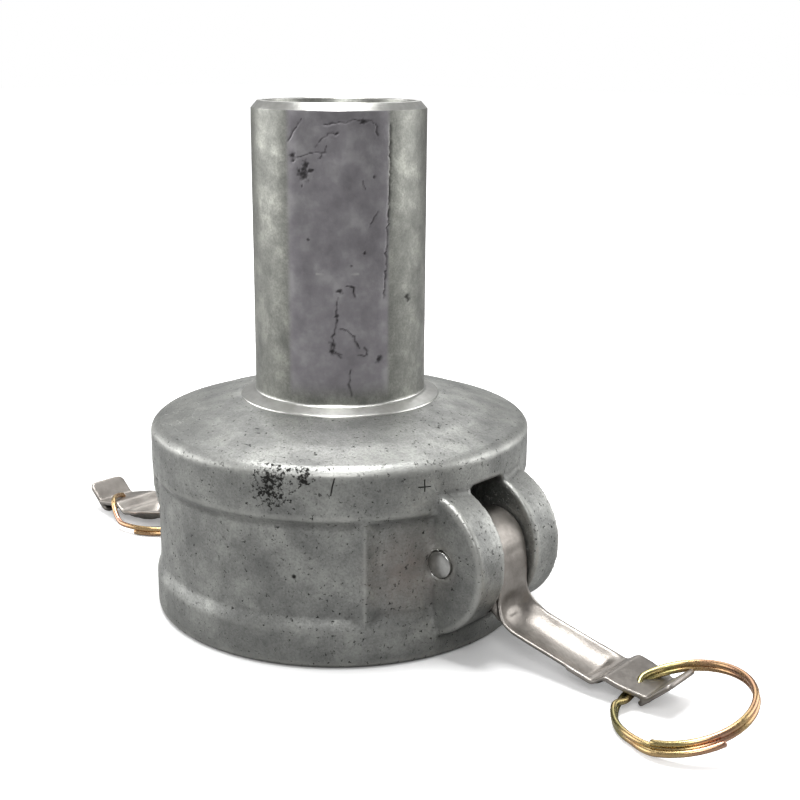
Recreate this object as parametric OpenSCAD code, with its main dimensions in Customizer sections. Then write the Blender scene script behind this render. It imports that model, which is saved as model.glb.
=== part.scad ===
// Cam and groove coupling: a female coupler with two cam arms and a plain pipe stub.
// Frame: mouth of the socket down at z = 0, axis along Z, stub upwards, one cam arm on +X.

/* [Socket body] */
// diameter of the upper band of the body
body_d = 142.4; // [130:0.2:156]
// diameter of the lower band round the mouth
rim_d = 141.6; // [130:0.2:156]
// diameter of the waist between the two bands
waist_d = 137.6; // [126:0.2:150]
// bore of the socket that takes the grooved adapter
socket_d = 120.3; // [112:0.1:124]
// height of the lower band
rim_h = 13.6; // [8:0.2:20]
// height of the sloped ledge above the lower band
ledge_h = 4.9; // [2:0.1:8]
// height at which the upper band starts
band_z = 53.9; // [48:0.5:58]
// height of the rounded shoulder edge
shoulder_z = 69.5; // [66:0.1:74]
// height of the machined ring round the foot of the stub
collar_z = 80.5; // [76:0.1:86]
// outer diameter of that machined ring
collar_d = 74.4; // [68:0.2:84]
// chamfer under the mouth rim
rim_chamfer = 1.1; // [0.4:0.1:2]
// half width of the triangular ridges on the waist
ridge_half_w = 5.8; // [3:0.1:9]
// angle of the ridges from the arm axis
ridge_angle = 40.1; // [32:0.1:50]

/* [Stub] */
// outer diameter of the plain stub
stub_d = 63.5; // [55:0.1:70]
// bore of the stub
stub_bore_d = 55; // [44:0.1:58]
// height of the stub end above the mouth
stub_top_z = 188.2; // [150:0.2:220]
// height of the machined cone at the foot of the stub
foot_h = 2.3; // [1:0.1:5]
// radial width of the end chamfer
end_chamfer = 2.4; // [0.5:0.1:3.5]
// height of the end chamfer
end_chamfer_h = 2.7; // [0.5:0.1:5]

/* [Gasket] */
// outer diameter of the flat gasket
gasket_od = 124; // [118:0.1:128]
// inner diameter of the flat gasket
gasket_id = 101.6; // [92:0.1:108]
// thickness of the gasket
gasket_t = 6.35; // [4:0.05:8]
// height of the underside of the gasket
gasket_z = 62; // [58:0.1:64]
// radial clearance of the gasket in its groove
gasket_gap = 0.2; // [0.1:0.05:0.5]
// width of the seat above the gasket
gasket_seat = 10; // [6:0.5:14]

/* [Ears] */
// distance of the pivot from the axis
pivot_s = 68.5; // [66:0.1:72]
// height of the pivot
pivot_z = 35.3; // [30:0.1:40]
// distance of the centre of the ear round from the axis
ear_s = 59.8; // [56:0.1:66]
// height of the centre of the ear round
ear_z = 34.1; // [32:0.1:42]
// radius of the ear round
ear_r = 26.5; // [22:0.1:30]
// distance over the outer cheeks of the two ears
ears_w = 46.8; // [40:0.1:54]
// width of the slot between the two ears
slot_w = 18.4; // [16:0.1:22]
// height of the top of the slot
slot_top_z = 60.2; // [56:0.1:61]
// corner radius of the slot
slot_r = 1.6; // [0.8:0.1:4]

/* [Pivot pins] */
// diameter of the pivot pin
pin_d = 9.5; // [8:0.1:12]
// height of the domed end that stands out of each cheek
pin_dome_h = 0.9; // [0.4:0.1:2]
// radial running clearance of the arm on its pin
pin_gap = 0.06; // [0.02:0.01:0.1]

/* [Cam arms] */
// width of the head of the arm between the ears
arm_w = 17.2; // [14:0.1:18]
// width of the lever over its rims
lever_w = 22.8; // [20:0.1:28]
// radius of the eccentric cam
cam_r = 13.1; // [11:0.1:15]
// offset of the cam centre from the pivot
cam_offset = 0.5; // [0.2:0.1:2]
// distance of the flat on the cam from the pivot
cam_flat = 8.0; // [6:0.1:8.6]
// drop of the lever rims below the pivot
lever_drop = 16.7; // [13:0.1:18]
// outer radius of the lever trough
trough_r = 14.6; // [12:0.1:20]
// wall of the lever trough
trough_wall = 2.1; // [1.2:0.1:3]
// distance from pivot to the start of the wide lever
trough_start = 18; // [14:0.1:20]
// distance from pivot to the end of the trough
trough_end = 60; // [50:0.5:70]
// metal left at each end of the trough
trough_ends = 2.4; // [1.6:0.1:4]
// slope of the opened arms below the horizontal
open_slope = 12.8; // [0:0.1:16]
// width of the end tab
tab_w = 22.8; // [17:0.2:28]
// distance from pivot to the lower edge of the end lip
tab_end = 77.2; // [70:0.1:84]
// height of the lower edge of the end lip above the lever rims
lip_rise = -1.7; // [-4:0.1:6]
// height of the end tab above the lever rims
tab_rise = 4.1; // [0:0.1:6]
// length of the step from the trough up to the end tab
step_len = 4; // [2:0.1:8]
// thickness of the end tab
tab_t = 1.8; // [1.2:0.1:3]
// length of the upturned lip
lip_len = 15.8; // [8:0.5:22]
// angle of the upturned lip to the lever
lip_angle = 55.3; // [20:1:80]
// width of the upturned lip
lip_w = 18.2; // [14:0.2:24]
// diameter of the ring hole
hole_d = 12.4; // [7:0.1:14]
// distance from pivot to the ring hole
hole_x = 72.6; // [64:0.1:76]

/* [Pull rings] */
// mean diameter of the split ring
ring_d = 44.4; // [36:0.2:52]
// diameter of the ring wire
wire_d = 2.2; // [1.6:0.1:3]
// depth by which the two turns of the ring press into each other
turn_press = 0.2; // [0.1:0.05:0.8]
// angle left open in the lower turn of the ring
end_gap = 12; // [6:1:60]
// angle left open in the upper turn, where the tab passes
tab_gap = 32; // [24:1:60]
// angle from one opening of the ring to the other
gap_apart = 130; // [60:1:180]
// distance of the right ring from the body axis
ring_right_s = 156.73; // [140:0.01:170]
// sideways place of the right ring
ring_right_t = -9.25; // [-20:0.01:20]
// height of the right ring
ring_right_z = 7.09; // [3:0.01:20]
// direction in which the right ring rises
ring_right_turn = 53.2; // [0:0.1:360]
// tilt of the right ring
ring_right_tilt = 15.6; // [0:0.1:60]
// place of the tab opening round the right ring
ring_right_gap = 125.1; // [0:0.1:360]
// distance of the left ring from the body axis
ring_left_s = 114.4; // [100:0.1:170]
// sideways place of the left ring
ring_left_t = -5; // [-20:0.1:20]
// height of the left ring
ring_left_z = 1.12; // [1:0.01:20]
// direction in which the left ring rises
ring_left_turn = 0; // [0:0.1:360]
// tilt of the left ring
ring_left_tilt = 0; // [0:0.1:60]
// place of the tab opening round the left ring
ring_left_gap = 334; // [0:0.1:360]

/* [Hidden] */
$fn = 96;
body_r = body_d / 2;
rim_r = rim_d / 2;
waist_r = waist_d / 2;
socket_r = socket_d / 2;
stub_r = stub_d / 2;
ledge_top = rim_h + ledge_h;
groove_r = gasket_od / 2 + gasket_gap;
groove_top = gasket_z + gasket_t;
vault_r = groove_r - gasket_seat;
ring_pitch = wire_d - turn_press;
arm_half = arm_w / 2;
arm_bore_r = pin_d / 2 + pin_gap;
lever_half = lever_w / 2;
trough_axis = -lever_drop + sqrt(trough_r * trough_r - lever_half * lever_half);
slot_bottom_z = rim_h;
tab_top = tab_rise - lever_drop;
lip_low = lip_rise - lever_drop;

// outline of the casting, turned round the axis
module body_profile() {
    polygon([
        [socket_r, 0], [rim_r - rim_chamfer, 0], [rim_r, rim_chamfer],
        [rim_r, rim_h], [waist_r, ledge_top],
        [waist_r, band_z - 2.8], [body_r, band_z],
        [body_r, shoulder_z], [body_r - 0.8, shoulder_z + 1],
        [body_r - 2.4, shoulder_z + 2.4], [body_r - 8.6, shoulder_z + 4.3],
        [body_r - 14.3, shoulder_z + 6.3], [body_r - 23.8, shoulder_z + 8.9],
        [collar_d / 2, collar_z], [stub_r, collar_z + foot_h],
        [stub_r, stub_top_z - end_chamfer_h], [stub_r - end_chamfer, stub_top_z],
        [stub_bore_d / 2, stub_top_z], [stub_bore_d / 2, collar_z],
        [vault_r, groove_top], [groove_r, groove_top],
        [groove_r, gasket_z], [socket_r, gasket_z]
    ]);
}

module ridge() {
    translate([0, 0, rim_h - 0.6])
        linear_extrude(height = band_z - rim_h)
            polygon([[rim_r - 0.05, 0], [waist_r - 0.6, ridge_half_w], [waist_r - 2, 0],
                     [waist_r - 0.6, -ridge_half_w]]);
}

// one pair of ears, still joined
module ear_block() {
    intersection() {
        translate([ear_s, 0, ear_z])
            rotate([90, 0, 0])
                cylinder(h = ears_w, r = ear_r, center = true);
        translate([socket_r + 4, -ears_w, 0])
            cube([40, 2 * ears_w, 80]);
    }
}

// slot for the cam, through the wall into the socket
module ear_slot() {
    slot_mid = slot_w / 2 - slot_r;
    translate([socket_r - 12, -slot_w / 2, slot_bottom_z])
        cube([50, slot_w, slot_top_z - slot_r - slot_bottom_z]);
    translate([socket_r - 12, -slot_mid, slot_bottom_z])
        cube([50, 2 * slot_mid, slot_top_z - slot_bottom_z]);
    for (side = [-1, 1])
        translate([socket_r - 12, side * slot_mid, slot_top_z - slot_r])
            rotate([0, 90, 0])
                cylinder(h = 50, r = slot_r);
}

module coupling_body() {
    color([0.60, 0.60, 0.59])
        difference() {
            union() {
                rotate_extrude()
                    body_profile();
                for (turn = [0, 180])
                    rotate([0, 0, turn]) {
                        ear_block();
                        rotate([0, 0, ridge_angle])
                            ridge();
                        rotate([0, 0, -ridge_angle])
                            ridge();
                    }
            }
            for (turn = [0, 180])
                rotate([0, 0, turn]) {
                    ear_slot();
                    translate([pivot_s, 0, pivot_z])
                        rotate([90, 0, 0])
                            cylinder(h = ears_w + 4, d = pin_d, center = true);
                }
        }
}

module sealing_gasket() {
    color([0.09, 0.09, 0.09])
        translate([0, 0, gasket_z])
            difference() {
                cylinder(h = gasket_t, d = gasket_od);
                translate([0, 0, -1])
                    cylinder(h = gasket_t + 2, d = gasket_id);
            }
}

module pivot_pin() {
    dome_r = (pin_d * pin_d / 4 + pin_dome_h * pin_dome_h) / (2 * pin_dome_h);
    color([0.72, 0.72, 0.71])
        translate([pivot_s, 0, pivot_z])
            rotate([90, 0, 0]) {
                cylinder(h = ears_w, d = pin_d, center = true);
                for (side = [-1, 1])
                    intersection() {
                        translate([0, 0, side * (ears_w / 2 + pin_dome_h - dome_r)])
                            sphere(r = dome_r);
                        translate([0, 0, side * ears_w / 2])
                            cylinder(h = 2 * pin_dome_h, d = pin_d, center = true);
                    }
            }
}

// side outline of the head: eccentric cam with a flat, front face and heel
module head_outline() {
    difference() {
        union() {
            translate([cam_offset * cos(55), cam_offset * sin(55)])
                circle(r = cam_r);
            polygon([[12.4, 4.8], [13.9, 2.4], [15.6, -2.2], [16.7, -7.7],
                     [17.7, -13.4], [20.4, -lever_drop - 2.4], [17.6, -17.6],
                     [7, -13.4], [-6.2, -11.2], [0, 0]]);
        }
        rotate(open_slope)
            translate([-cam_flat - 40, -40])
                square([40, 80]);
    }
}

// end tab: a flat plate above the rims, with the step down to the trough
module tab_plate() {
    tab_far = tab_end + (tab_top - tab_t / 2 - lip_low) / tan(lip_angle);
    step_top = trough_end + step_len;
    translate([trough_end, -tab_w / 2, tab_top - tab_t])
        cube([tab_far - trough_end, tab_w, tab_t]);
    rotate([90, 0, 0])
        linear_extrude(height = tab_w, center = true)
            polygon([[trough_end - 2, -lever_drop - 3], [trough_end + 2, -lever_drop - 3],
                     [step_top + 2, tab_top - tab_t], [step_top + 2, tab_top],
                     [step_top, tab_top], [trough_end, -lever_drop],
                     [trough_end - 2, -lever_drop]]);
}

// flat end plate that stands across the tab and leans outwards
module lip_plate() {
    corner = 3;
    translate([tab_end, 0, lip_low])
        rotate([0, -lip_angle, 0])
            linear_extrude(height = tab_t)
                union() {
                    translate([corner, -lip_w / 2])
                        square([lip_len - 2 * corner, lip_w]);
                    translate([0, -lip_w / 2 + corner])
                        square([lip_len, lip_w - 2 * corner]);
                    for (end = [corner, lip_len - corner])
                        for (side = [-1, 1])
                            translate([end, side * (lip_w / 2 - corner)])
                                circle(r = corner);
                }
}

// solid lever: a round-backed bar that the trough is cut from
module lever_bar() {
    intersection() {
        translate([trough_start, -lever_half, -lever_drop - trough_r])
            cube([trough_end - trough_start, lever_w, trough_r]);
        translate([0, 0, trough_axis])
            rotate([0, 90, 0])
                cylinder(h = 2 * trough_end, r = trough_r);
    }
}

// arm in its own frame: pivot at the origin, lever along +X
module arm_shape() {
    trough_r_in = trough_r - trough_wall;
    difference() {
        union() {
            rotate([90, 0, 0])
                linear_extrude(height = arm_w, center = true)
                    head_outline();
            lever_bar();
            tab_plate();
            lip_plate();
        }
        translate([trough_start + trough_ends, 0, trough_axis])
            rotate([0, 90, 0])
                cylinder(h = trough_end - trough_start - 2 * trough_ends, r = trough_r_in);
        rotate([90, 0, 0])
            cylinder(h = arm_w + 2, r = arm_bore_r, center = true);
        translate([hole_x, 0, tab_top - tab_t - 1])
            cylinder(h = tab_t + 2, d = hole_d);
    }
}

module cam_arm() {
    color([0.66, 0.65, 0.63])
        translate([pivot_s, 0, pivot_z])
            rotate([0, open_slope, 0])
                arm_shape();
}

// two turns of round wire: the lower one goes through the tab hole
module split_ring(gap_at) {
    color([0.72, 0.60, 0.34]) {
        rotate([0, 0, gap_at + gap_apart + end_gap / 2])
            rotate_extrude(angle = 360 - end_gap)
                translate([ring_d / 2, 0])
                    circle(d = wire_d);
        translate([0, 0, ring_pitch])
            rotate([0, 0, gap_at + tab_gap / 2])
                rotate_extrude(angle = 360 - tab_gap)
                    translate([ring_d / 2, 0])
                        circle(d = wire_d);
    }
}

module cam_arm_right() {
    cam_arm();
}

module cam_arm_left() {
    rotate([0, 0, 180])
        cam_arm();
}

module pivot_pin_right() {
    pivot_pin();
}

module pivot_pin_left() {
    rotate([0, 0, 180])
        pivot_pin();
}

module pull_ring_right() {
    translate([ring_right_s, ring_right_t, ring_right_z])
        rotate([0, 0, ring_right_turn])
            rotate([0, -ring_right_tilt, 0])
                split_ring(ring_right_gap);
}

module pull_ring_left() {
    rotate([0, 0, 180])
        translate([ring_left_s, ring_left_t, ring_left_z])
            rotate([0, 0, ring_left_turn])
                rotate([0, -ring_left_tilt, 0])
                    split_ring(ring_left_gap);
}

coupling_body();
sealing_gasket();
cam_arm_right();
cam_arm_left();
pivot_pin_right();
pivot_pin_left();
pull_ring_right();
pull_ring_left();
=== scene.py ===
"""Cam and groove coupling: cast aluminium coupler with two steel cam arms, on a pale studio floor.

Row frame in metres: mouth plane at z = 0, axis along Z, right cam arm on +X.
"""

import math

import bmesh
import bpy
import numpy as np
from mathutils import Matrix, Vector


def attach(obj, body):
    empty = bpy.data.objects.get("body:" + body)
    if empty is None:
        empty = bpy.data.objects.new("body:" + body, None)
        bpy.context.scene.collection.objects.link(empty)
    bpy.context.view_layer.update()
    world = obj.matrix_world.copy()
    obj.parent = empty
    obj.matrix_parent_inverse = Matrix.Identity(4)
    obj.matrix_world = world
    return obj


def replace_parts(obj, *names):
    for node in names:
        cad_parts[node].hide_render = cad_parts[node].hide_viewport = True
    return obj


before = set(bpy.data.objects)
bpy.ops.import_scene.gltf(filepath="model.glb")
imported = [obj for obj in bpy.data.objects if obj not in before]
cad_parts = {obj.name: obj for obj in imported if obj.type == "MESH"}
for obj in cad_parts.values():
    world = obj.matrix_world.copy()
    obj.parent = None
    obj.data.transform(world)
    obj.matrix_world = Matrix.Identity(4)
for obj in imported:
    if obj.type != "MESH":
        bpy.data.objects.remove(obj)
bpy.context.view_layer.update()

MM = 0.001

# sizes of the part, in millimetres
COLLAR_R, COLLAR_Z = 37.2, 80.5
FOOT_Z = 82.8
STUB_R, STUB_BORE_R, STUB_TOP = 31.75, 27.5, 188.2
CHAMFER_W, CHAMFER_H = 2.4, 2.7
WALL_TOP = STUB_TOP - CHAMFER_H
STUB_STEP, MARK_DEPTH, DENT_DEPTH = 0.42, 0.22, 0.10
GASKET_Z, GASKET_T, GASKET_R_OUT, GASKET_R_IN = 62.0, 6.35, 62.0, 50.8
PIVOT_S, PIVOT_Z = 68.5, 35.3
PIN_R, EARS_HALF, PIN_DOME = 4.75, 23.4, 0.9
SLOPE = math.radians(12.8)
LEVER_DROP, LEVER_HALF = 16.7, 11.4
HEAD_HALF, HEAD_EDGE = 8.6, 0.9
CAM_R, CAM_X, CAM_Z, CAM_FLAT = 13.1, 0.29, 0.41, 8.0
PIN_HOLE_R = 4.82
TROUGH_DEPTH = 4.1
TAB_END, TAB_RISE, TAB_T = 80.4, 4.1, 1.8
TAB_HOLE_X, TAB_HOLE_R = 72.6, 6.2
LIP_X, LIP_Z, LIP_LONG, LIP_HALF = 77.2, -18.4, 15.8, 9.1
LIP_TURN = math.radians(55.3)
FUSE_VOXEL, ARM_VOXEL, BODY_VOXEL = 0.45, 0.42, 0.95
PEEN_R = 5.15
CASTING_TOP_M = 0.0802


# meshes
def add_piece(name, verts_mm, faces, body, material, smooth=True):
    """One mesh object from vertices in millimetres and quads, riding on a body."""
    mesh = bpy.data.meshes.new(name)
    mesh.from_pydata((np.asarray(verts_mm) * MM).tolist(), [], [list(f) for f in faces])
    mesh.update()
    mesh.polygons.foreach_set("use_smooth", [smooth] * len(mesh.polygons))
    piece = bpy.data.objects.new(name, mesh)
    bpy.context.scene.collection.objects.link(piece)
    if material is not None:
        mesh.materials.append(material)
    if body is not None:
        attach(piece, body)
    return piece


def grid_faces(rows, cols, wrap_rows=False, wrap_cols=False):
    """Quads of a rows x cols grid of points numbered row by row."""
    i, j = np.meshgrid(np.arange(rows if wrap_rows else rows - 1),
                       np.arange(cols if wrap_cols else cols - 1), indexing="ij")
    i, j = i.ravel(), j.ravel()
    k, m = (i + 1) % rows, (j + 1) % cols
    return np.stack([i * cols + j, i * cols + m, k * cols + m, k * cols + j], axis=1)


def rounded(points, radii, steps=5):
    """Polygon with its corners replaced by arcs: each arc touches both sides at the
    same distance from the corner, radius / tan(half the corner angle)."""
    points = np.asarray(points, float)
    out = []
    count = len(points)
    for n in range(count):
        before, here, after = points[n - 1], points[n], points[(n + 1) % count]
        a, b = before - here, after - here
        la, lb = np.linalg.norm(a), np.linalg.norm(b)
        a, b = a / la, b / lb
        radius = radii[n] if np.ndim(radii) else radii
        half = math.acos(np.clip(a @ b, -1, 1)) / 2
        reach = radius / max(math.tan(half), 1e-6)
        if radius <= 0 or half > math.pi / 2 - 0.01:
            out.append(here[None])
            continue
        reach = min(reach, 0.48 * la, 0.48 * lb)
        radius = reach * math.tan(half)
        centre = here + (a + b) / np.linalg.norm(a + b) * radius / math.sin(half)
        start, stop = here + a * reach - centre, here + b * reach - centre
        t = np.linspace(0, 1, steps + 1)[:, None]
        angle = math.acos(np.clip(start @ stop / radius ** 2, -1, 1))
        arc = (np.sin((1 - t) * angle) * start + np.sin(t * angle) * stop) / math.sin(angle)
        out.append(centre + arc)
    return np.concatenate(out)


def signed_area(loop):
    """Area of a closed outline, positive where it runs anticlockwise."""
    x, y = loop[:, 0], loop[:, 1]
    return 0.5 * np.sum(x * np.roll(y, -1) - y * np.roll(x, -1))


def turned(loop, segments=128, angles=None):
    """Closed outline (r, z) turned round the Z axis: x = r cos a, y = r sin a."""
    if signed_area(loop) < 0:
        loop = loop[::-1]
    a = np.linspace(0, 2 * np.pi, segments, endpoint=False) if angles is None else angles
    r, z = loop[:, 0][:, None], loop[:, 1][:, None]
    verts = np.stack([r * np.cos(a), r * np.sin(a), z + 0 * a], axis=-1).reshape(-1, 3)
    return verts, grid_faces(len(loop), len(a), True, True)


def carried(sections):
    """Closed rings of points, one per station along a path, joined and capped:
    sections has shape (stations, points, 3). Caps are fans to the ring's middle."""
    stations, points = sections.shape[:2]
    verts = sections.reshape(-1, 3)
    faces = grid_faces(stations, points, False, True).tolist()
    first, last = len(verts), len(verts) + 1
    verts = np.concatenate([verts, [sections[0].mean(0)], [sections[-1].mean(0)]])
    base = (stations - 1) * points
    for n in range(points):
        m = (n + 1) % points
        faces.append([m, n, first])
        faces.append([base + n, base + m, last])
    return verts, faces


def outline_plate(loop, half, edge_r, steps=4):
    """Flat outline (x, z) given thickness 2 half along Y, its rims rounded: each station
    is the outline drawn in towards its own inside by edge_r (1 - cos u) at y = half - edge_r (1 - sin u)."""
    if signed_area(loop) < 0:
        loop = loop[::-1]
    tangent = np.roll(loop, -1, axis=0) - np.roll(loop, 1, axis=0)
    tangent /= np.linalg.norm(tangent, axis=1)[:, None]
    inward = np.stack([-tangent[:, 1], tangent[:, 0]], axis=1)
    u = np.linspace(np.pi / 2, 0, steps + 1)
    shift = np.concatenate([edge_r * (1 - np.cos(u)), edge_r * (1 - np.cos(u[::-1]))])
    level = np.concatenate([-half + edge_r * (1 - np.sin(u)), (half - edge_r * (1 - np.sin(u)))[::-1]])
    rings = [np.stack([(loop + inward * s)[:, 0], np.full(len(loop), y), (loop + inward * s)[:, 1]], axis=1)
             for s, y in zip(shift, level)]
    return carried(np.array(rings)[:, ::-1])


def noise_field(points, size, seed, octaves=3):
    """Smooth bumps about one size wide: sums of sines in random directions, each octave half as wide."""
    rng = np.random.default_rng(seed)
    total = np.zeros(len(points))
    for octave in range(octaves):
        for _ in range(6):
            way = rng.normal(size=3)
            way /= np.linalg.norm(way)
            phase = points @ way * (2 * np.pi / size) * 2 ** octave + rng.uniform(0, 6.28)
            total += np.sin(phase) / 2 ** octave
    return total / 6


def fused(parts, voxel, rounds, name):
    """Overlapping closed shells (vertices in mm, faces) made one skin on a voxel grid, then its
    corners worn round by averaging each vertex with its neighbours for some rounds."""
    verts, faces, base = [], [], 0
    for points, quads in parts:
        verts.append(points)
        faces += [[int(n) + base for n in face] for face in quads]
        base += len(points)
    mesh = bpy.data.meshes.new(name)
    mesh.from_pydata((np.concatenate(verts) * MM).tolist(), [], faces)
    return worn(mesh, voxel, rounds, name)


def worn(mesh, voxel, rounds, name):
    """A closed mesh made one skin on a voxel grid and worn round for some rounds."""
    piece = bpy.data.objects.new(name, mesh)
    bpy.context.scene.collection.objects.link(piece)
    skin = piece.modifiers.new("skin", "REMESH")
    skin.mode = "VOXEL"
    skin.voxel_size = voxel * MM
    wear = piece.modifiers.new("wear", "SMOOTH")
    wear.factor = 0.5
    wear.iterations = rounds
    done = bpy.data.meshes.new_from_object(piece.evaluated_get(bpy.context.evaluated_depsgraph_get()))
    bpy.data.objects.remove(piece)
    done.name = name
    done.polygons.foreach_set("use_smooth", [True] * len(done.polygons))
    return done


def points_of(mesh):
    """A mesh's vertices in millimetres."""
    flat = np.empty(len(mesh.vertices) * 3)
    mesh.vertices.foreach_get("co", flat)
    return flat.reshape(-1, 3) / MM


def set_points(mesh, points):
    """Gives a mesh its vertices, in millimetres."""
    mesh.vertices.foreach_set("co", (points * MM).ravel())
    mesh.update()


def mark_edges(mesh):
    """Vertex attribute edge: how far a vertex stands over the middle of its neighbours along its
    normal, 0.5 where flat, 1 on worn outer edges and 0 in creases."""
    count = len(mesh.vertices)
    points, normals = points_of(mesh), np.empty(count * 3)
    mesh.vertices.foreach_get("normal", normals)
    pairs = np.empty(len(mesh.edges) * 2, int)
    mesh.edges.foreach_get("vertices", pairs)
    a, b = pairs.reshape(-1, 2).T
    degree = np.maximum(np.bincount(a, minlength=count) + np.bincount(b, minlength=count), 1)

    def around(values):
        """Mean of a value over each vertex's neighbours."""
        total = np.zeros_like(values)
        np.add.at(total, a, values[b])
        np.add.at(total, b, values[a])
        return total / (degree[:, None] if values.ndim > 1 else degree)
    proud = np.sum((points - around(points)) * normals.reshape(-1, 3), axis=1)
    for _ in range(3):
        proud = (proud + around(proud)) / 2
    level = np.clip(0.5 + proud * 9, 0, 1)
    mesh.attributes.new("edge", "FLOAT", "POINT").data.foreach_set("value", level)


def place(mesh, name, body, material, nodes):
    """An object for a finished mesh, riding on a body in place of some CAD nodes."""
    piece = bpy.data.objects.new(name, mesh)
    bpy.context.scene.collection.objects.link(piece)
    mesh.materials.clear()
    mesh.materials.append(material)
    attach(piece, body)
    if nodes:
        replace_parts(piece, *nodes)
    return piece


# nodes of the materials
def linear(colour):
    """sRGB hex to the linear colour that Blender works in."""
    parts = [int(colour[n:n + 2], 16) / 255 for n in (1, 3, 5)]
    return tuple(c / 12.92 if c <= 0.04045 else ((c + 0.055) / 1.055) ** 2.4 for c in parts) + (1.0,)


def put(tree, kind, inputs=None, **settings):
    """A node with its settings; inputs maps a socket name or number to a value or to another socket."""
    item = tree.nodes.new(kind)
    for key, value in settings.items():
        setattr(item, key, value)
    for key, value in (inputs or {}).items():
        if isinstance(value, bpy.types.NodeSocket):
            tree.links.new(value, item.inputs[key])
        else:
            item.inputs[key].default_value = value
    return item


def ramp(tree, value, stops):
    """Colour ramp: stops are (place, sRGB hex or grey number)."""
    item = put(tree, "ShaderNodeValToRGB", {0: value})
    band = item.color_ramp
    while len(band.elements) < len(stops):
        band.elements.new(0.5)
    for element, (where, colour) in zip(band.elements, stops):
        element.position = where
        element.color = linear(colour) if isinstance(colour, str) else (colour, colour, colour, 1)
    return item.outputs["Color"]


def maths(tree, operation, *values, clamp=False):
    """Result of a maths node on sockets or numbers."""
    item = put(tree, "ShaderNodeMath", dict(enumerate(values)), operation=operation, use_clamp=clamp)
    return item.outputs[0]


def blend_colour(tree, amount, one, two):
    """Colour one where amount is 0 and colour two where it is 1."""
    item = put(tree, "ShaderNodeMix", {0: amount, 6: one, 7: two}, data_type="RGBA")
    return item.outputs[2]


def noise(tree, where, size_mm, detail=3.0, rough=0.55, distortion=0.0):
    """Noise whose bumps are size_mm wide on Object coordinates in metres."""
    return put(tree, "ShaderNodeTexNoise", {"Vector": where, "Scale": 1000.0 / size_mm, "Detail": detail,
                                            "Roughness": rough, "Distortion": distortion}).outputs[0]


def new_material(name):
    """A material with its tree, its Principled shader and the Object coordinates."""
    material = bpy.data.materials.new(name)
    material.use_nodes = True
    tree = material.node_tree
    shader = tree.nodes["Principled BSDF"]
    where = put(tree, "ShaderNodeTexCoord").outputs["Object"]
    return material, tree, shader, where


def roughen(tree, shader, strength, distance_m, height):
    """Bump from a height socket on the shader's normal."""
    bump = put(tree, "ShaderNodeBump", {"Strength": strength, "Distance": distance_m, "Height": height})
    tree.links.new(bump.outputs[0], shader.inputs["Normal"])


def spot(tree, where, centre_mm, radius_mm):
    """1 at a place on the surface, falling to 0 at radius_mm from it."""
    centre = tuple(c * MM for c in centre_mm)
    far = put(tree, "ShaderNodeVectorMath", {0: where, 1: centre}, operation="DISTANCE").outputs["Value"]
    return put(tree, "ShaderNodeMapRange", {0: far, 1: 0.0, 2: radius_mm * MM, 3: 1.0, 4: 0.0}).outputs[0]


# arms
def smooth(value, low, high):
    """0 below low, 1 above high, and 3 t^2 - 2 t^3 between them."""
    t = np.clip((value - low) / (high - low), 0, 1)
    return t * t * (3 - 2 * t)


def head_shells():
    """Cam and heel of an arm. The cam is a circle just off the pivot, (x, z) = centre + R (cos a, sin a),
    with a flat on its back that stands upright while the arm is open."""
    a = np.linspace(0, 2 * np.pi, 90, endpoint=False)
    cam = np.stack([CAM_X + CAM_R * np.cos(a), CAM_Z + CAM_R * np.sin(a)], axis=1)
    away = np.array([math.cos(SLOPE), math.sin(SLOPE)])
    past = np.minimum(cam @ away + CAM_FLAT, 0)
    cam = cam - past[:, None] * away
    heel = rounded([[12.0, 3.9], [13.0, 1.0], [14.3, -3.4], [15.2, -8.6], [16.4, -14.0], [20.4, -18.6],
                    [17.8, -17.4], [7, -13.3], [-6.2, -11.0], [0, 0]], [0.5, 2, 4, 4, 3, 0.5, 2, 2, 1, 1])
    return [outline_plate(cam, HEAD_HALF, HEAD_EDGE), outline_plate(heel, HEAD_HALF, HEAD_EDGE)]


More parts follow.
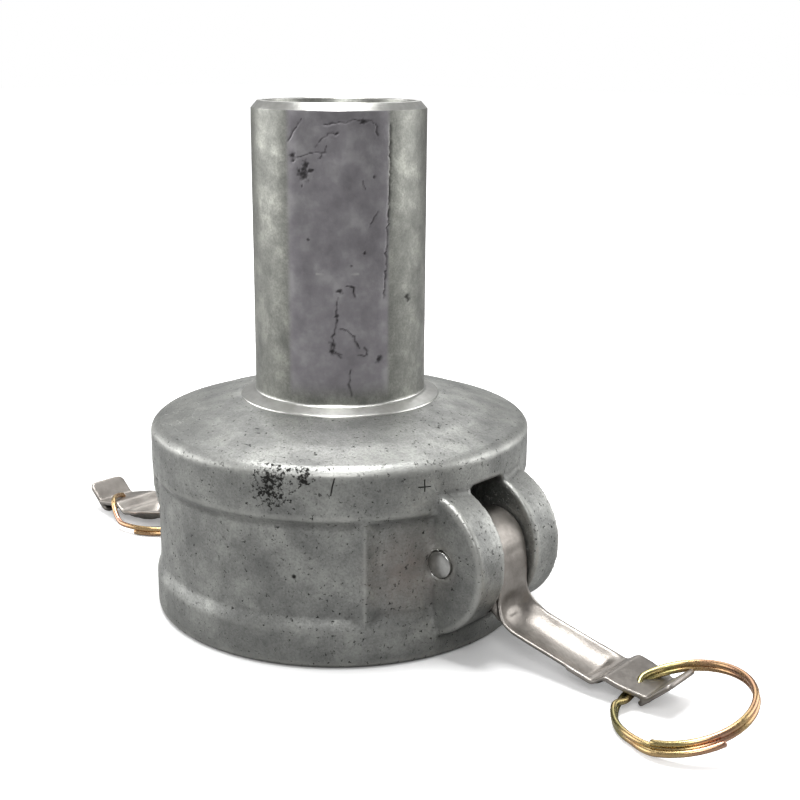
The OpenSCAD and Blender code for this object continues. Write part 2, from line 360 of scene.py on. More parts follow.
def channel_shell():
    """Front of the head and the lever: a section with two rims carried along P(s). Between the rims it
    dips by dish (1 - |v|^2.4), and its underside is rounded by back (1 - |w|^2.2)."""
    path = np.array([[12.3, 5.6], [13.9, 2.4], [15.6, -2.2], [16.8, -7.7], [18.3, -12.0], [21.4, -15.2],
                     [26.0, -16.6], [32.0, -16.7], [46.0, -16.7], [58.6, -16.7]])
    s = np.concatenate([[0], np.cumsum(np.linalg.norm(np.diff(path, axis=0), axis=1))])
    fine = np.linspace(0, s[-1], 90)
    px, pz = np.interp(fine, s, path[:, 0]), np.interp(fine, s, path[:, 1])
    for _ in range(6):
        px[1:-1] = (px[:-2] + 2 * px[1:-1] + px[2:]) / 4
        pz[1:-1] = (pz[:-2] + 2 * pz[1:-1] + pz[2:]) / 4
    tx, tz = np.gradient(px), np.gradient(pz)
    size = np.hypot(tx, tz)
    nx, nz = -tz / size, tx / size
    wide = smooth(fine, 14, 26)
    sections = []
    for n in range(len(fine)):
        half = HEAD_HALF + (LEVER_HALF - HEAD_HALF) * wide[n]
        rim = 1.2 + 0.3 * wide[n]
        dish = 0.15 + TROUGH_DEPTH * smooth(fine[n], 13, 26)
        back = 3.2 + 2.3 * wide[n]
        v = np.linspace(-1, 1, 15)
        inner = half - rim
        top = np.stack([v * inner, -dish * (1 - np.abs(v) ** 2.4)], axis=1)
        w = np.linspace(1, -1, 21)
        under = np.stack([w * half, -(0.55 + (back - 0.55) * (1 - np.abs(w) ** 2.2))], axis=1)
        near_rim, far_rim = [[-half, -0.5], [-half + 0.5, 0]], [[half - 0.5, 0], [half, -0.5]]
        loop = np.concatenate([near_rim, top, far_rim, under[1:-1]])
        across, deep = loop[:, 0], loop[:, 1]
        sections.append(np.stack([px[n] + nx[n] * deep, across, pz[n] + nz[n] * deep], axis=1))
    return carried(np.array(sections)[:, ::-1])


def tab_shell():
    """End of the trough and the step up to the tab: a slab between two height fields z(x, y)."""
    x = np.linspace(50, TAB_END, 62)
    v = np.linspace(-1, 1, 41)
    X, V = np.meshgrid(x, v, indexing="ij")
    Y = V * (LEVER_HALF - 2.2 * smooth(X, 68, 80))
    rise = TAB_RISE * smooth(X, 59.6, 64.6)
    bowl = 4.25 * (1 - np.clip(np.abs(Y) / 9.9, 0, 1) ** 2.4) * (1 - smooth(X, 54.5, 59.5))
    top = -LEVER_DROP + rise - bowl
    under = -7.58 - np.sqrt(14.6 ** 2 - Y ** 2) + 6.0 * smooth(X, 58.5, 65)
    under = under + 2.6 * (1 - np.abs(V) ** 2) * smooth(X, 59, 65)
    under = np.where(X > 65, top - TAB_T, np.minimum(under, top - TAB_T))
    rows, cols = X.shape
    upper = np.stack([X, Y, top], axis=-1).reshape(-1, 3)
    lower = np.stack([X, Y, under], axis=-1).reshape(-1, 3)
    quads = grid_faces(rows, cols)
    count = rows * cols
    index = np.arange(count).reshape(rows, cols)
    rim = np.concatenate([index[:-1, 0], index[-1, :-1], index[:0:-1, -1], index[0, :0:-1]])
    after = np.roll(rim, -1)
    faces = quads[:, ::-1].tolist() + (quads + count).tolist()
    faces += np.stack([rim, after, after + count, rim + count], axis=1).tolist()
    return np.concatenate([upper, lower]), faces


def lip_shell():
    """End lip: a flat plate with round corners that stands across the tab, turned by LIP_TURN."""
    plate = rounded([[0, -LIP_HALF], [LIP_LONG, -LIP_HALF], [LIP_LONG, LIP_HALF], [0, LIP_HALF]], 3.0)
    verts, faces = outline_plate(plate, 0.95, 0.45)
    along, across, up = verts[:, 0], verts[:, 2], verts[:, 1] + 0.9
    c, s = math.cos(LIP_TURN), math.sin(LIP_TURN)
    return np.stack([LIP_X + along * c - up * s, across, LIP_Z + along * s + up * c], axis=1), faces


def arm_shells():
    """Closed shells of one arm, in its own frame: pivot at the origin, lever along +X, Z up."""
    return head_shells() + [channel_shell(), tab_shell(), lip_shell()]


def minus(mesh, cutters, name):
    """The mesh less some closed cutters."""
    piece = bpy.data.objects.new(name, mesh)
    bpy.context.scene.collection.objects.link(piece)
    tools = []
    for points, faces in cutters:
        shape = bpy.data.meshes.new(name + "_cut")
        shape.from_pydata((points * MM).tolist(), [], [[int(n) for n in f] for f in faces])
        tool = bpy.data.objects.new(name + "_cut", shape)
        bpy.context.scene.collection.objects.link(tool)
        cut = piece.modifiers.new("cut", "BOOLEAN")
        cut.operation = "DIFFERENCE"
        cut.solver = "EXACT"
        cut.object = tool
        tools.append(tool)
    done = bpy.data.meshes.new_from_object(piece.evaluated_get(bpy.context.evaluated_depsgraph_get()))
    for item in [piece] + tools:
        bpy.data.objects.remove(item)
    return done


def rod(start, stop, radius, segments=64):
    """Closed cylinder between two points, in millimetres."""
    start, stop = np.array(start, float), np.array(stop, float)
    way = (stop - start) / np.linalg.norm(stop - start)
    side = np.cross(way, [0.3, 0.5, 0.8])
    side /= np.linalg.norm(side)
    other = np.cross(way, side)
    a = np.linspace(0, 2 * np.pi, segments, endpoint=False)[:, None]
    ring = radius * (np.cos(a) * side + np.sin(a) * other)
    return carried(np.array([start + ring, stop + ring])[:, ::-1])


def in_row(points, half_turn):
    """Points of the arm's own frame put in the row frame, for the right or the left arm."""
    c, s = math.cos(SLOPE), math.sin(SLOPE)
    x, y, z = points.T
    put_at = np.stack([PIVOT_S + x * c + z * s, y, PIVOT_Z - x * s + z * c], axis=1)
    return put_at * [-1, -1, 1] if half_turn else put_at


# rings: where each lies is its centre in mm, then its turn round Z and its tilt in degrees
RING_R, WIRE_R, RING_PITCH = 22.2, 1.1, 2.0
RING_RIGHT_AT = (156.73, -9.25, 7.09, 53.2, 15.6)
RING_LEFT_AT = (114.4, -5, 1.12, 0, 0)


def tube(path, radius, sides=14):
    """Round wire along a path of points (mm): a circle carried along it without twist, ends domed."""
    tangent = np.gradient(path, axis=0)
    tangent /= np.linalg.norm(tangent, axis=1)[:, None]
    side = np.cross(tangent[0], [0.1, 0.2, 1.0])
    side /= np.linalg.norm(side)
    a = np.linspace(0, 2 * np.pi, sides, endpoint=False)
    rings = []
    for n, (point, way) in enumerate(zip(path, tangent)):
        side = side - way * (side @ way)
        side /= np.linalg.norm(side)
        other = np.cross(way, side)
        rings.append(point + radius * (np.cos(a)[:, None] * side + np.sin(a)[:, None] * other))

    def dome(ring, centre, way):
        """Rings that close in on a centre, as a flattened half ball."""
        return [centre + (ring - centre) * math.cos(u) + way * radius * 0.6 * math.sin(u)
                for u in (0.5, 1.0, 1.35)]

    start = dome(rings[0], path[0], -tangent[0])[::-1]
    end = dome(rings[-1], path[-1], tangent[-1])
    return carried(np.array(start + rings + end)[:, ::-1])


def ring_frame(s, t, z, turn, tilt, half_turn):
    """Matrix from a ring's own frame (turns round Z) to the row frame in millimetres."""
    move = Matrix.Translation((s, t, z)) @ Matrix.Rotation(math.radians(turn), 4, "Z") @ \
        Matrix.Rotation(math.radians(-tilt), 4, "Y")
    return (Matrix.Rotation(math.pi, 4, "Z") @ move) if half_turn else move


def hung_coil():
    """Right ring, in its own frame: x = r(a) cos a, y = r(a) sin a, z = h(a). Two turns and a bit; the
    upper turn dives beside the lower one where both pass the tab hole, and the tail lies outside."""
    a = np.arange(220.0, 220 + 775, 3.0)
    level = RING_PITCH * (1 - smooth(a, 545, 600))
    dive = np.exp(-((a - 485) / 17.0) ** 4)
    radius = RING_R - 2.1 * dive + 2.15 * smooth(a, 915, 945)
    height = level * (1 - dive)
    turn = np.radians(a)
    return np.stack([radius * np.cos(turn), radius * np.sin(turn), height], axis=1)


def laid_coil():
    """Left ring, in its own frame: the lower turn starts on the floor at 106 degrees; near 380 degrees
    the wire rises over the tab and comes down again as the upper turn."""
    a = np.arange(106.0, 720, 3.0)
    over = smooth(a, 368, 379) * (1 - smooth(a, 408, 446))
    spread = 0.9 * np.clip(np.cos(np.radians(a - 310)), 0, 1) * smooth(a, 480, 560)
    height = RING_PITCH * smooth(a, 366, 400) * (1 + spread)
    turn = np.radians(a)
    return np.stack([RING_R * np.cos(turn), RING_R * np.sin(turn), height + 6.6 * over], axis=1)


# camera, fitted to the body's outlines in the photograph
CAMERA_AT, CAMERA_LENS = (332.94, -351.64, 204.73), 59.23
camera = bpy.data.objects.new("camera", bpy.data.cameras.new("camera"))
bpy.context.scene.collection.objects.link(camera)
bpy.context.scene.camera = camera
camera.data.sensor_width = 36
camera.data.lens = CAMERA_LENS
camera.data.clip_start = 0.01
right = Vector((0.75621077, 0.65428596, 0.00742641))
up = Vector((-0.17245998, 0.1883518, 0.96684081))
forward = Vector((-0.63119159, 0.7324162, -0.2552718))
camera.matrix_world = Matrix.Translation(Vector(CAMERA_AT) * MM) @ \
    Matrix((right, up, -forward)).transposed().to_4x4()


# materials
def streak(tree, where, start_mm, end_mm, radius_mm):
    """1 on the segment between two places, falling to 0 at radius_mm: distance to start + t (end - start)."""
    start = Vector(start_mm) * MM
    along = Vector(end_mm) * MM - start
    away = put(tree, "ShaderNodeVectorMath", {0: where, 1: tuple(start)}, operation="SUBTRACT").outputs[0]
    share = put(tree, "ShaderNodeVectorMath", {0: away, 1: tuple(along)}, operation="DOT_PRODUCT")
    t = maths(tree, "DIVIDE", share.outputs["Value"], along.length_squared, clamp=True)
    foot = put(tree, "ShaderNodeVectorMath", {0: tuple(along), "Scale": t}, operation="SCALE").outputs[0]
    far = put(tree, "ShaderNodeVectorMath", {0: away, 1: foot}, operation="DISTANCE").outputs["Value"]
    return put(tree, "ShaderNodeMapRange", {0: far, 1: 0.0, 2: radius_mm * MM, 3: 1.0, 4: 0.0}).outputs[0]


def any_of(tree, masks):
    """The greatest of some masks."""
    total = masks[0]
    for mask in masks[1:]:
        total = maths(tree, "MAXIMUM", total, mask)
    return total


def cast_metal(name, dark, middle, light, rough, cloud_mm):
    """Sand-cast, tumbled aluminium: clouds of tone, fine grain and low bumps. Returns what the
    materials built on it go on with."""
    material, tree, shader, where = new_material(name)
    wander = put(tree, "ShaderNodeTexNoise", {"Vector": where, "Scale": 60.0}).outputs[1]
    bent = put(tree, "ShaderNodeVectorMath", {0: wander, 1: (0.006, 0.006, 0.006), 2: where},
               operation="MULTIPLY_ADD").outputs[0]
    cloud = noise(tree, bent, cloud_mm, 6, 0.62)
    grain = noise(tree, where, 0.8, 3, 0.65)
    base = ramp(tree, cloud, [(0.34, dark), (0.5, middle), (0.66, light)])
    shade = maths(tree, "MULTIPLY", ramp(tree, grain, [(0.35, 1.0), (0.6, 0.0)]), 0.35)
    base = blend_colour(tree, shade, base, linear("#5d5d5b"))
    shader.inputs["Metallic"].default_value = 1.0
    roughness = put(tree, "ShaderNodeMapRange", {0: cloud, 1: 0.3, 2: 0.7,
                                                 3: rough + 0.07, 4: rough - 0.05}).outputs[0]
    low = noise(tree, where, 4.5, 3, 0.55)
    height = maths(tree, "ADD", maths(tree, "MULTIPLY", grain, 0.5), maths(tree, "MULTIPLY", low, 0.9))
    return material, tree, shader, where, base, roughness, height


def cast_aluminium():
    """Body casting, with the marks that the photograph shows."""
    material, tree, shader, where, base, roughness, height = cast_metal(
        "cast_aluminium", "#858684", "#9a9b98", "#b2b3af", 0.47, 14)
    edge = put(tree, "ShaderNodeAttribute", attribute_name="edge").outputs["Fac"]
    # outer edges lighter: partly wear, partly a painted highlight
    base = blend_colour(tree, ramp(tree, edge, [(0.64, 0.0), (1.0, 0.4)]), base, linear("#cfcfca"))
    # painted shade: creases of the casting darkened, where shade falls
    base = blend_colour(tree, ramp(tree, edge, [(0.1, 0.55), (0.40, 0.0)]), base, linear("#4f4f4d"))
    warm = spot(tree, where, (61, -32, 34), 19)
    warm = maths(tree, "MULTIPLY", maths(tree, "MULTIPLY", warm, noise(tree, where, 5, 4)), 0.75)
    base = blend_colour(tree, warm, base, linear("#a08f86"))
    # black pitting on the upper band, and small pores anywhere
    speck = noise(tree, where, 1.5, 4, 0.7)
    near = any_of(tree, [spot(tree, where, (30.0, -64.6, 65.3), 10.5),
                         maths(tree, "MULTIPLY", spot(tree, where, (38.9, -59.7, 68.4), 5.5), 0.8)])
    pitted = ramp(tree, maths(tree, "MULTIPLY_ADD", near, 0.22, speck), [(0.60, 0.0), (0.68, 1.0)])
    dots = any_of(tree, [spot(tree, where, (34.4, -59.6, 32.6), 1.5),
                         streak(tree, where, (47.4, -53.1, 68.7), (46.9, -53.6, 66), 0.5),
                         streak(tree, where, (46.9, -53.6, 66), (46.5, -54.0, 62.9), 0.5),
                         streak(tree, where, (65.4, -28.2, 66.2), (65.4, -28.1, 62.2), 0.5),
                         streak(tree, where, (64.5, -30.2, 63.9), (66.2, -26.1, 63.6), 0.45),
                         streak(tree, where, (70.4, -10.4, 71.6), (70.6, -8.4, 72.6), 0.9)])
    pores = ramp(tree, noise(tree, where, 2.2, 1, 0.5), [(0.19, 1.0), (0.23, 0.0)])
    dots = ramp(tree, dots, [(0.3, 0.0), (0.7, 1.0)])
    dark = any_of(tree, [pitted, dots, maths(tree, "MULTIPLY", pores, 0.7)])
    base = blend_colour(tree, maths(tree, "MULTIPLY", dark, 0.92), base, linear("#232321"))
    nick = streak(tree, where, (70.7, -8.7, 72.6), (70.6, -4.6, 74.2), 0.8)
    base = blend_colour(tree, ramp(tree, nick, [(0.3, 0.0), (0.6, 1.0)]), base, linear("#e6e6e0"))
    tree.links.new(base, shader.inputs["Base Color"])
    tree.links.new(maths(tree, "MULTIPLY_ADD", dark, 0.3, roughness), shader.inputs["Roughness"])
    height = maths(tree, "MULTIPLY_ADD", dark, -1.4, height)
    roughen(tree, shader, 0.6, 0.00024, height)
    return material


def stub_aluminium():
    """The stub's own skin: smoother, with cold cracks as an attribute, and a duller purple-grey strip, the
    attribute skin, that is a painted reflection on the side facing the camera.
    """
    material, tree, shader, where, base, roughness, height = cast_metal(
        "stub_aluminium", "#80817c", "#93948e", "#aeafa7", 0.40, 10)
    skin = put(tree, "ShaderNodeAttribute", attribute_name="skin").outputs["Fac"]
    cloud = noise(tree, where, 9, 5, 0.6)
    # painted reflection: a duller purple-grey tone laid where the skin attribute marks the band facing the
    # camera, standing in for the dark surroundings mirrored there
    dull = ramp(tree, cloud, [(0.34, "#8b888c"), (0.52, "#9b989c"), (0.68, "#b0aeb0")])
    base = blend_colour(tree, skin, base, dull)
    mark = put(tree, "ShaderNodeAttribute", attribute_name="mark").outputs["Fac"]
    base = blend_colour(tree, mark, base, linear("#1f1d1d"))
    scratch = streak(tree, where, (15.2, -27.8, 130.2), (26.0, -18.2, 130.2), 0.6)
    base = blend_colour(tree, maths(tree, "MULTIPLY", scratch, 0.6), base, linear("#d6d6d2"))
    tree.links.new(base, shader.inputs["Base Color"])
    tree.links.new(maths(tree, "MULTIPLY_ADD", mark, 0.3, roughness), shader.inputs["Roughness"])
    roughen(tree, shader, 0.4, 0.0002, height)
    return material


def turned_aluminium():
    """Freshly turned aluminium: bright, with fine rings from the tool."""
    material, tree, shader, where = new_material("turned_aluminium")
    base = ramp(tree, noise(tree, where, 3, 2), [(0.3, "#c9c9c4"), (0.7, "#dcdcd8")])
    tree.links.new(base, shader.inputs["Base Color"])
    shader.inputs["Metallic"].default_value = 1.0
    shader.inputs["Roughness"].default_value = 0.32
    parts = put(tree, "ShaderNodeSeparateXYZ", {0: where})
    squares = [maths(tree, "POWER", parts.outputs[n], 2.0) for n in (0, 1)]
    r = maths(tree, "SQRT", maths(tree, "ADD", *squares))
    rings = put(tree, "ShaderNodeTexNoise", {"W": maths(tree, "MULTIPLY", r, 4000.0), "Scale": 1.0,
                                             "Detail": 2.0}, noise_dimensions="1D").outputs[0]
    roughen(tree, shader, 0.3, 0.0001, rings)
    return material


def arm_steel():
    """Investment-cast stainless steel, tumbled: warm grey, satin, tiny dimples."""
    material, tree, shader, where = new_material("arm_steel")
    base = ramp(tree, noise(tree, where, 9, 3), [(0.3, "#85807b"), (0.7, "#a5a09a")])
    tree.links.new(base, shader.inputs["Base Color"])
    shader.inputs["Metallic"].default_value = 1.0
    satin = ramp(tree, noise(tree, where, 1.2, 3), [(0.3, 0.36), (0.7, 0.5)])
    tree.links.new(satin, shader.inputs["Roughness"])
    low = maths(tree, "MULTIPLY", noise(tree, where, 4, 2), 1.4)
    height = maths(tree, "ADD", noise(tree, where, 0.7, 2), low)
    roughen(tree, shader, 0.35, 0.00012, height)
    return material


def pin_steel():
    """Bright drawn steel of the pins, lightly dimpled."""
    material, tree, shader, where = new_material("pin_steel")
    base = ramp(tree, noise(tree, where, 3, 2), [(0.3, "#a9a9a7"), (0.7, "#c4c4c1")])
    tree.links.new(base, shader.inputs["Base Color"])
    shader.inputs["Metallic"].default_value = 1.0
    shader.inputs["Roughness"].default_value = 0.28
    roughen(tree, shader, 0.3, 0.0001, noise(tree, where, 0.8, 2))
    return material


def ring_steel():
    """Spring wire, zinc plated and yellow passivated: gold that drifts to pink and green along the wire."""
    material, tree, shader, where = new_material("ring_steel")
    drift = noise(tree, where, 16, 1, 0.5, 0.3)
    base = ramp(tree, drift, [(0.32, "#c39a86"), (0.44, "#bb9474"), (0.54, "#c8aa7c"), (0.66, "#9d9566")])
    tree.links.new(base, shader.inputs["Base Color"])
    shader.inputs["Metallic"].default_value = 1.0
    sheen = ramp(tree, noise(tree, where, 1.0, 2), [(0.3, 0.22), (0.7, 0.34)])
    tree.links.new(sheen, shader.inputs["Roughness"])
    roughen(tree, shader, 0.25, 0.00003, noise(tree, where, 1.6, 2))
    return material


def gasket_rubber():
    """Moulded nitrile rubber: near black, dull."""
    material, tree, shader, where = new_material("gasket_rubber")
    base = ramp(tree, noise(tree, where, 2, 3), [(0.3, "#161616"), (0.7, "#232322")])
    tree.links.new(base, shader.inputs["Base Color"])
    shader.inputs["Roughness"].default_value = 0.62
    roughen(tree, shader, 0.3, 0.0001, noise(tree, where, 0.6, 2))
    return material


cast, stub_metal, turned_metal = cast_aluminium(), stub_aluminium(), turned_aluminium()
arm_metal, pin_metal, ring_metal, rubber = arm_steel(), pin_steel(), ring_steel(), gasket_rubber()

# arms: one skin, placed twice
arm_mesh = fused(arm_shells(), FUSE_VOXEL, 0, "arm")
tab_hole = rod([TAB_HOLE_X, 0, -24], [TAB_HOLE_X, 0, -6], TAB_HOLE_R)
pin_hole = rod([0, -10, 0], [0, 10, 0], PIN_HOLE_R)
arm_mesh = minus(arm_mesh, [tab_hole, pin_hole], "arm")
arm_mesh = worn(arm_mesh, ARM_VOXEL, 3, "arm")
arm_points = points_of(arm_mesh)
for side, half_turn in (("right", False), ("left", True)):
    copy = arm_mesh.copy()
    set_points(copy, in_row(arm_points, half_turn))
    place(copy, "arm_" + side, "arm_" + side, arm_metal, ["cam_arm_" + side])

# rings
for side, move, path in (("right", ring_frame(*RING_RIGHT_AT, False), hung_coil()),
                         ("left", ring_frame(*RING_LEFT_AT, True), laid_coil())):
    path = np.array([move @ Vector(p) for p in path])
    verts, faces = tube(path, WIRE_R)
    piece = add_piece("ring_" + side, verts, faces, "ring_" + side, ring_metal)
    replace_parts(piece, "pull_ring_" + side)


def pin_shell():
    """Right pin: a shank turned round its own axis along Y, with domed ends r = R cos k,
    h = half the ears' width + dome sin k."""
    dome = [(PIN_R * math.cos(k), EARS_HALF + PIN_DOME * math.sin(k)) for k in np.linspace(0.15, 1.5, 9)]
    profile = [(PIN_R, 0.0), (PIN_R - 0.03, EARS_HALF)] + dome
    rings = [(r, -h) for r, h in profile[:0:-1]] + profile
    a = np.linspace(0, 2 * np.pi, 48, endpoint=False)
    return carried(np.array([np.stack([PIVOT_S + r * np.cos(a), np.full(48, h), PIVOT_Z + r * np.sin(a)],
                                      axis=1) for r, h in rings]))


def peening_shell():
    """Crescent of metal upset round the right pin's near end, where the hole was peened over: an oval
    carried round the pin at r = PEEN_R + width / 2, with width = 0.15 + 1.25 sin^0.7 of the way along."""
    a = np.linspace(math.radians(95), math.radians(285), 40)[:, None]
    width = 0.15 + 1.25 * np.sin((a - a[0]) / (a[-1] - a[0]) * np.pi) ** 0.7
    u = np.linspace(0, 2 * np.pi, 12, endpoint=False)
    r = PEEN_R + width / 2 + 0.5 * width * np.cos(u)
    y = -(EARS_HALF + 0.3 * np.sin(u) + 0 * a)
    return carried(np.stack([PIVOT_S + r * np.cos(a), y, PIVOT_Z + r * np.sin(a)], axis=-1))


# pins, the left one half a turn round from the right one
for side, sign in (("right", 1), ("left", -1)):
    verts, faces = pin_shell()
    piece = add_piece("pin_" + side, verts * [sign, sign, 1], faces, "body", pin_metal)
    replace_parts(piece, "pivot_pin_" + side)

# crescents on both pins' near ends: the left one is a mirror image, with its faces turned outward
for side, sign in (("right", 1), ("left", -1)):
    verts, faces = peening_shell()
    faces = [face[::sign] for face in faces]
    add_piece("pin_peening_" + side, verts * [sign, 1, 1], faces, "body", turned_metal)

# gasket with rounded edges
loop = rounded([[GASKET_R_IN, GASKET_Z], [GASKET_R_OUT, GASKET_Z], [GASKET_R_OUT, GASKET_Z + GASKET_T],
                [GASKET_R_IN, GASKET_Z + GASKET_T]], 0.7)
verts, faces = turned(loop, 160)
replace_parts(add_piece("gasket", verts, faces, "body", rubber), "sealing_gasket")

# body casting: the CAD solid below the collar, made one worn skin
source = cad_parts["coupling_body"]
work = bmesh.new()
work.from_mesh(source.data)
bmesh.ops.transform(work, matrix=source.matrix_world, verts=work.verts)
bmesh.ops.remove_doubles(work, verts=work.verts, dist=2e-6)
cut = bmesh.ops.bisect_plane(work, geom=work.verts[:] + work.edges[:] + work.faces[:], dist=1e-7,
                             plane_co=(0, 0, CASTING_TOP_M), plane_no=(0, 0, 1), clear_outer=True)
edges = [e for e in cut["geom_cut"] if isinstance(e, bmesh.types.BMEdge)]
bmesh.ops.bridge_loops(work, edges=edges)
bmesh.ops.recalc_face_normals(work, faces=work.faces)
body_mesh = bpy.data.meshes.new("body_casting")
work.to_mesh(body_mesh)
work.free()
body_mesh = worn(body_mesh, BODY_VOXEL, 4, "body_casting")
mark_edges(body_mesh)
place(body_mesh, "body_casting", "body", cast, ["coupling_body"])

# cracks and cold shuts of the stub's skin, traced: (angle round the axis in degrees, height in mm)
CRACKS = [
    [(-55.8, 180.8), (-48.9, 182.0), (-42.0, 181.6), (-37.8, 183.2), (-32.1, 182.3), (-27.8, 182.6),
     (-23.2, 181.0), (-22.3, 177.7)],
    [(-61.6, 173.5), (-57.3, 176.5), (-53.0, 177.8), (-47.0, 178.0)],
    [(-80.2, 175.1), (-73.4, 180.6), (-70.3, 182.9)],
    [(-73.7, 169.9), (-67.5, 170.8), (-61.6, 172.0), (-55.9, 171.7), (-53.9, 173.6)],
    [(-57.3, 170.9), (-59.6, 169.9)],
    [(-70.8, 159.6), (-70.2, 161.1)],
    [(-32.1, 162.3), (-30.1, 159.5)],
    [(-13.6, 180.6), (-13.1, 168.4), (-13.6, 155.2), (-15.5, 141.9), (-16.4, 127.5), (-18.0, 121.2)],
    [(-21.8, 151.5), (-27.6, 146.2)],
    [(-42.2, 126.3), (-37.9, 125.3), (-37.1, 122.6)],
    [(-47.7, 121.9), (-48.9, 119.5), (-48.3, 113.8), (-50.4, 109.8), (-52.5, 104.0), (-46.7, 100.8)],
    [(-46.6, 110.3), (-42.3, 110.9), (-38.0, 108.1), (-34.5, 103.9)],
    [(-35.1, 101.3), (-29.1, 100.8), (-30.6, 103.8)],
    [(-40.4, 95.8), (-41.0, 90.8), (-39.2, 86.6)],
    [(-53.9, 106.5), (-49.6, 105.7), (-51.9, 102.4), (-46.1, 101.8)]]
# darker blots: angle, height, radius in mm
BLOTS = [(-68.6, 164.2, 2.6), (-64.6, 165.5, 1.6), (-67.6, 167.8, 1.8), (-77.0, 170.2, 1.5),
         (-72.9, 165.4, 1.2), (-66.9, 141.9, 0.7), (-30.6, 137.4, 0.7), (-39.4, 133.0, 0.6),
         (-24.4, 163.5, 0.9), (-46.5, 124.3, 1.3), (-21.2, 99.2, 1.5), (2.6, 119.8, 1.6),
         (-32.1, 182.0, 1.4), (-50.5, 105.0, 1.4), (-51.3, 102.2, 1.3), (-48.6, 115.5, 0.8)]


def cracked(places):
    """Depth of mark, 0 to 1, at places (arc length, height) in mm: lines with a jittered course
    and a width that swells and thins, and ragged blots."""
    rng = np.random.default_rng(11)
    depth = np.zeros(len(places))
    for line in CRACKS:
        course = np.array([(STUB_R * math.radians(a), z) for a, z in line])
        lengths = np.concatenate([[0], np.cumsum(np.linalg.norm(np.diff(course, axis=0), axis=1))])
        steps = np.linspace(0, lengths[-1], max(3, int(lengths[-1] / 0.9)))
        course = np.stack([np.interp(steps, lengths, course[:, k]) for k in (0, 1)], axis=1)
        course += rng.normal(0, 0.22, course.shape)
        for start, end in zip(course[:-1], course[1:]):
            along = end - start
            t = np.clip((places - start) @ along / max(along @ along, 1e-6), 0, 1)
            far = np.linalg.norm(places - start - t[:, None] * along, axis=1)
            width = rng.uniform(0.18, 0.42)
            depth = np.maximum(depth, rng.uniform(0.45, 1.0) * np.exp(-(far / width) ** 2))
    flat_points = np.concatenate([places, np.zeros((len(places), 1))], axis=1)
    ragged = noise_field(flat_points, 2.2, 3, 4)
    for a, z, size in BLOTS:
        far = np.hypot(places[:, 0] - STUB_R * math.radians(a), places[:, 1] - z)
        blot = np.clip(1.5 * (1 - far / size) + 1.1 * ragged, 0, 1) * (far < 1.3 * size) * 0.85
        depth = np.maximum(depth, blot)
    return depth


def stub_outline():
    """Closed outline (r, z) of the stub: underside, turned collar ring, foot, wall, tip and bore."""
    under = [[STUB_BORE_R, 76.0], [36.0, 76.0], [COLLAR_R - 0.1, 79.6], [COLLAR_R, COLLAR_Z + 0.1]]
    collar = [[r, COLLAR_Z + 0.12 + (COLLAR_R - r) / (COLLAR_R - STUB_R) * (FOOT_Z - COLLAR_Z)]
              for r in np.linspace(COLLAR_R - 0.3, STUB_R + 0.5, 9)]
    foot = [[STUB_R + 0.12, FOOT_Z + 0.35], [STUB_R, FOOT_Z + 0.9]]
    wall = [[STUB_R, z] for z in np.arange(FOOT_Z + 1.3, WALL_TOP - 0.3, STUB_STEP)]
    tip = rounded([[STUB_R, WALL_TOP - 0.3], [STUB_R, WALL_TOP], [STUB_R - CHAMFER_W, STUB_TOP],
                   [STUB_BORE_R + 0.4, STUB_TOP], [STUB_BORE_R, STUB_TOP - 0.5]], [0, 0.5, 0.5, 0.3, 0], 4)
    return np.concatenate([under, collar, foot, wall, tip, [[STUB_BORE_R, 150.0], [STUB_BORE_R, 110.0]]])


# stub and turned collar ring, with small steps on the side that faces the camera
facing = math.atan2(CAMERA_AT[1], CAMERA_AT[0])
near = np.arange(facing - 1.45, facing + 1.45, STUB_STEP / STUB_R)
far = np.arange(near[-1] + 0.09, near[0] + 2 * np.pi - 0.05, 0.09)
verts, faces = turned(stub_outline(), angles=np.concatenate([near, far]))
radius, angle = np.hypot(verts[:, 0], verts[:, 1]), np.arctan2(verts[:, 1], verts[:, 0])
wall_part = (radius > STUB_R - 0.05) & (verts[:, 2] > FOOT_Z + 1) & (verts[:, 2] < WALL_TOP + 0.1)
mark = np.zeros(len(verts))
mark[wall_part] = cracked(np.stack([STUB_R * angle[wall_part], verts[wall_part, 2]], axis=1))
degrees = np.degrees(angle)
# skin: the band of the stub that faces the camera, which gets a painted reflection, a purple-grey tone for
# the dark surroundings mirrored there
skin = smooth(degrees, -83, -78) * (1 - smooth(degrees, -16, -12.5)) * smooth(verts[:, 2], 84, 92)
dents = MARK_DEPTH * mark + DENT_DEPTH * np.abs(noise_field(verts, 26, 5, 3)) * wall_part
verts[:, :2] *= (1 - dents / radius)[:, None]
piece = add_piece("stub", verts, faces, "body", stub_metal)
piece.data.materials.append(turned_metal)
for label, values in (("mark", mark), ("skin", skin)):
    piece.data.attributes.new(label, "FLOAT", "POINT").data.foreach_set("value", values)
middle = verts[np.asarray(faces)].mean(axis=1)
reach = np.hypot(middle[:, 0], middle[:, 1])
collar_part = (middle[:, 2] < FOOT_Z + 0.6) & (reach > STUB_R)
tip_part = (middle[:, 2] > WALL_TOP + 0.1) & (reach > STUB_BORE_R + 0.1)
piece.data.polygons.foreach_set("material_index", (collar_part | tip_part).astype(int))


# studio
def flat(name, size, location, material):
    """A square sheet that belongs to the studio and not to the part."""
    mesh = bpy.data.meshes.new(name)
    h = size / 2
    mesh.from_pydata([(-h, -h, 0), (h, -h, 0), (h, h, 0), (-h, h, 0)], [], [(0, 1, 2, 3)])
    item = bpy.data.objects.new(name, mesh)
    item.location = location
    mesh.materials.append(material)
    bpy.context.scene.collection.objects.link(item)
    return item


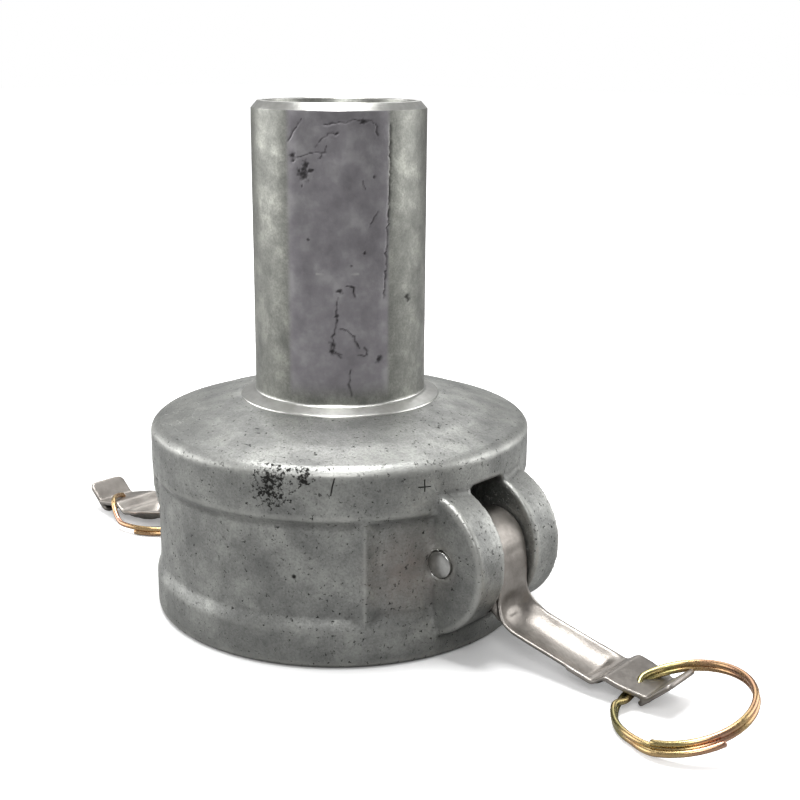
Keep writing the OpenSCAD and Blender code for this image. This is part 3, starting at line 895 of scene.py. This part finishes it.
floor_material, tree, shader, where = new_material("studio_floor")
shader.inputs["Roughness"].default_value = 0.9
shader.inputs["Specular IOR Level"].default_value = 0.1
camera_ray = put(tree, "ShaderNodeLightPath").outputs["Is Camera Ray"]
floor_colour = blend_colour(tree, camera_ray, linear("#9a9a9a"), linear("#f4f4f4"))
tree.links.new(floor_colour, shader.inputs["Base Color"])
far = put(tree, "ShaderNodeVectorMath", {0: where}, operation="LENGTH").outputs["Value"]
lift = ramp(tree, far, [(0.072, 0.0), (0.1, 0.22), (0.2, 0.25), (0.5, 1.0)])
shader.inputs["Emission Color"].default_value = (1, 1, 1, 1)
tree.links.new(maths(tree, "MULTIPLY", lift, camera_ray), shader.inputs["Emission Strength"])
flat("floor", 12.0, (0, 0, -0.0003), floor_material)


def softbox(name, place_m, aim_m, size_m, power, size_y=None):
    """A rectangular area light turned to what it lights."""
    light = bpy.data.lights.new(name, "AREA")
    light.shape = "RECTANGLE"
    light.size = size_m
    light.size_y = size_y or size_m
    light.energy = power
    item = bpy.data.objects.new(name, light)
    item.location = place_m
    item.rotation_euler = (Vector(aim_m) - Vector(place_m)).to_track_quat("-Z", "Y").to_euler()
    bpy.context.scene.collection.objects.link(item)


centre = (0, 0, 0.07)
softbox("top", (-0.05, 0.0, 1.2), centre, 0.6, 17)
softbox("back", (-0.7, 0.8, 1.0), centre, 0.9, 5)
softbox("front", (0.62, -0.9, 0.95), centre, 0.5, 7)
softbox("left", (-0.95, -0.57, 0.42), centre, 1.1, 8, 0.8)
softbox("right", (0.66, 0.85, 0.42), centre, 0.9, 6, 0.8)

world = bpy.data.worlds.new("studio")
bpy.context.scene.world = world
world.use_nodes = True
tree = world.node_tree
tree.nodes.clear()
seen = put(tree, "ShaderNodeLightPath").outputs["Is Camera Ray"]
plain = put(tree, "ShaderNodeBackground", {"Color": (0.8, 0.8, 0.8, 1), "Strength": 0.36})
white = put(tree, "ShaderNodeBackground", {"Color": (1, 1, 1, 1), "Strength": 1.0})
mix = put(tree, "ShaderNodeMixShader", {0: seen, 1: plain.outputs[0], 2: white.outputs[0]})
put(tree, "ShaderNodeOutputWorld", {0: mix.outputs[0]})
bpy.context.scene.view_settings.view_transform = "Standard"
